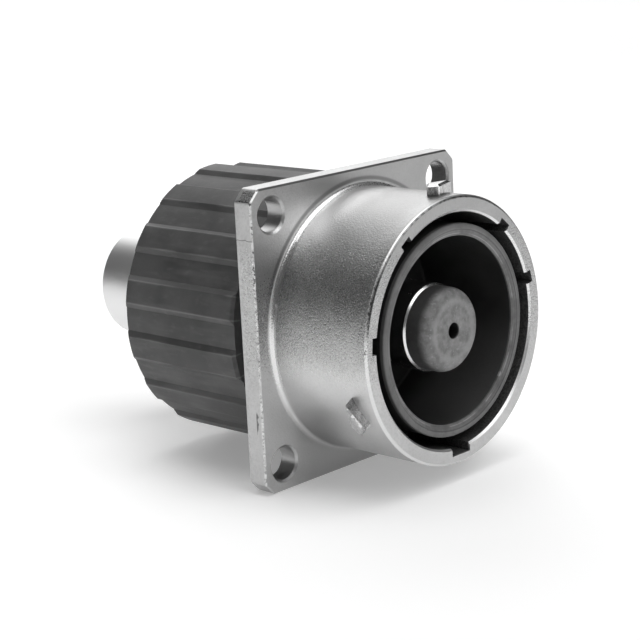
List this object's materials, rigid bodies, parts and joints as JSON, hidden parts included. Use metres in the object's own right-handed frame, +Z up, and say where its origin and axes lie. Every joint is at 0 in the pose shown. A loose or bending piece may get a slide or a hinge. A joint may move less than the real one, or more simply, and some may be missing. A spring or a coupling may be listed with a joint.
{
  "type": "connector receptacle",
  "caption": "Square-flange panel receptacle for high current: round keyed shell with bayonet lugs, single large pin contact, ribbed rear nut and crimp barrel for a cable.",
  "frame": {"origin": "on the connector's axis, in the rear face of the flange, which is the centre of the four screw holes", "axes": "+Y along the connector's axis to the cable side, -Y to the mating side, +Z up with one bayonet lug on top and the widest keyway at the bottom, +X to the right when looked at from the mating side"},
  "size_m": [0.05, 0.0763, 0.05],
  "materials": {
    "shell_metal": "satin nickel plating over fine blasted grain, black coated inside the mouth",
    "lug_steel": "polished",
    "seal_rubber": "matt, smooth",
    "insulator_plastic": "black, fine matt",
    "contact_silver": "copper alloy with bright silver plating",
    "cap_plastic": "grey, satin",
    "nut_plastic": "black, satin, moulded ribs",
    "black_rubber": "matt",
    "hidden_steel": "plain",
    "lock_ring_metal": "plain turned"
  },
  "bodies": {
    "receptacle": {"shell": "shell_metal", "bayonet_lug_1": "lug_steel", "bayonet_lug_2": "lug_steel", "bayonet_lug_3": "lug_steel", "face_seal": "seal_rubber", "front_insulator": "insulator_plastic", "rear_insulator": "insulator_plastic", "contact": "contact_silver", "contact_cap": "cap_plastic", "groove_gasket": "black_rubber", "insulator_o_ring": "black_rubber", "contact_o_ring": "black_rubber", "nut_o_ring": "black_rubber", "grommet": "black_rubber", "contact_retaining_ring": "hidden_steel", "insert_washer": "hidden_steel", "lock_ring": "lock_ring_metal"},
    "thrust_washer": {"thrust_washer": "hidden_steel"},
    "ribbed_nut": {"ribbed_nut": "nut_plastic", "nut_snap_ring": "hidden_steel"}
  },
  "joints": [
    {"name": "nut_travel", "type": "slide", "parent": "receptacle", "child": "thrust_washer", "axis": [0, 1, 0], "range_m": [0, 0.0081]},
    {"name": "nut_turn", "type": "hinge", "parent": "thrust_washer", "child": "ribbed_nut", "pos_m": [0, 0.0171, 0], "axis": [0, 1, 0], "range_deg": [0, 1440]}
  ],
  "couplings": [
    {"joint": "nut_travel", "follows": "nut_turn", "m_per_rad": 0.00031831}
  ]
}
